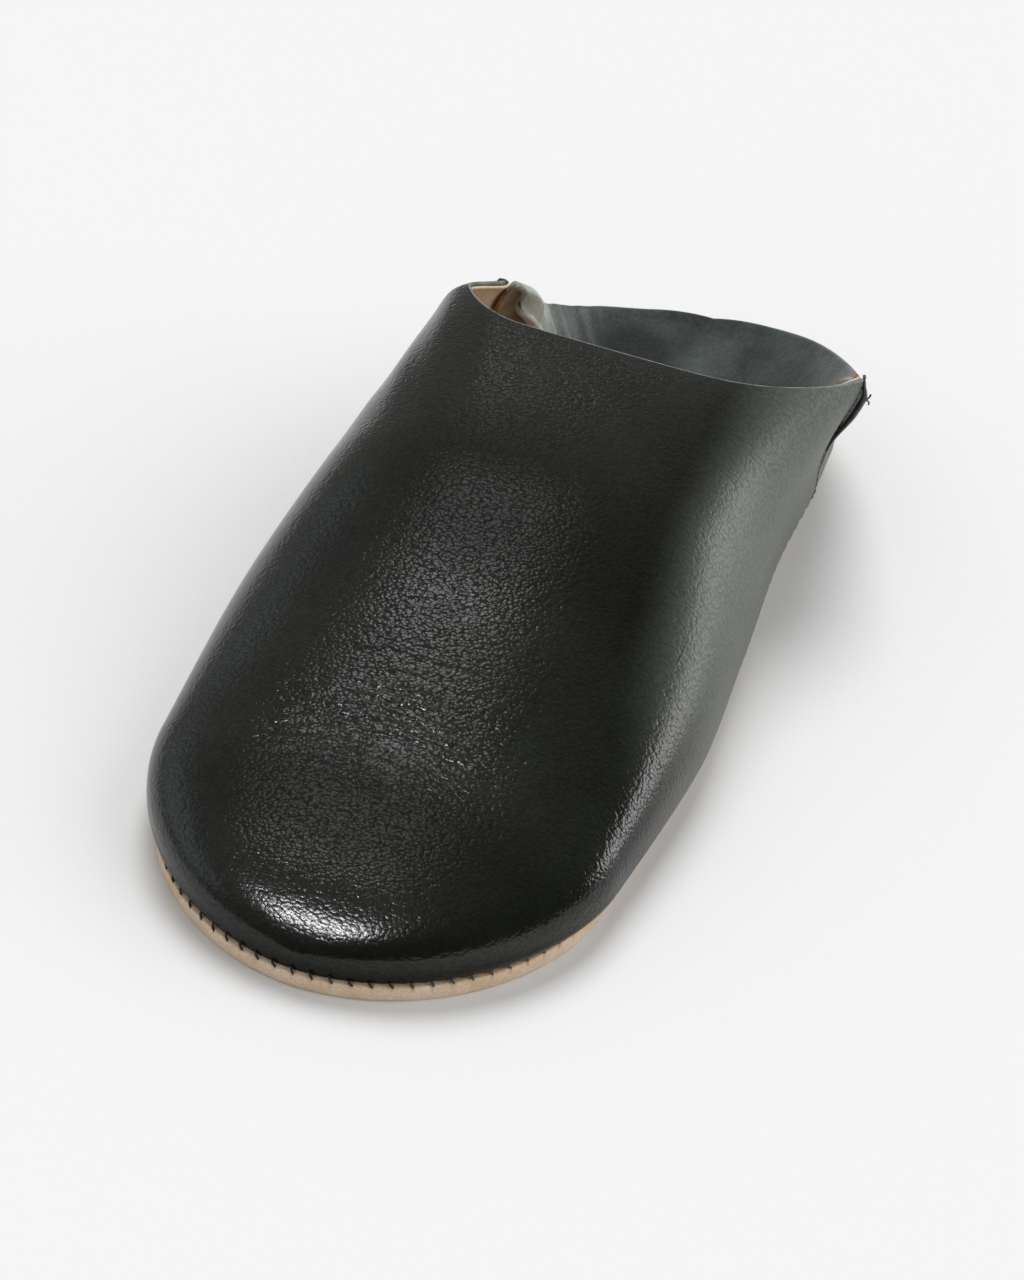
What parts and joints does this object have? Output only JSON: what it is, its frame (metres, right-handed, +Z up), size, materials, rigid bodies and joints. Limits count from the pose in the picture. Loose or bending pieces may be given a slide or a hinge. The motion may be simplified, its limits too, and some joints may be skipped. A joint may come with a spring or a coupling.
{
  "type": "babouche slipper",
  "caption": "Backless-style leather slipper: a boxy round-toed vamp over a flat leather sole, its heel band trodden down and folded inward.",
  "frame": {"origin": "middle of the slipper's box, on the floor under the sole", "axes": "+Z up, +Y towards the heel, toe towards -Y, +X to the wearer's right"},
  "size_m": [0.1136, 0.244, 0.0568],
  "materials": {
    "sole_leather": "natural vegetable-tanned cut edge, matte",
    "insole_leather": "natural vegetable-tanned, matte",
    "glazed_leather": "black glazed fine-grained, semi-gloss",
    "lining_leather": "undyed flesh side, matte",
    "waxed_thread": "black waxed cord"
  },
  "bodies": {
    "root": {"outsole": "sole_leather", "insole": "insole_leather", "upper": "glazed_leather"}
  },
  "joints": []
}
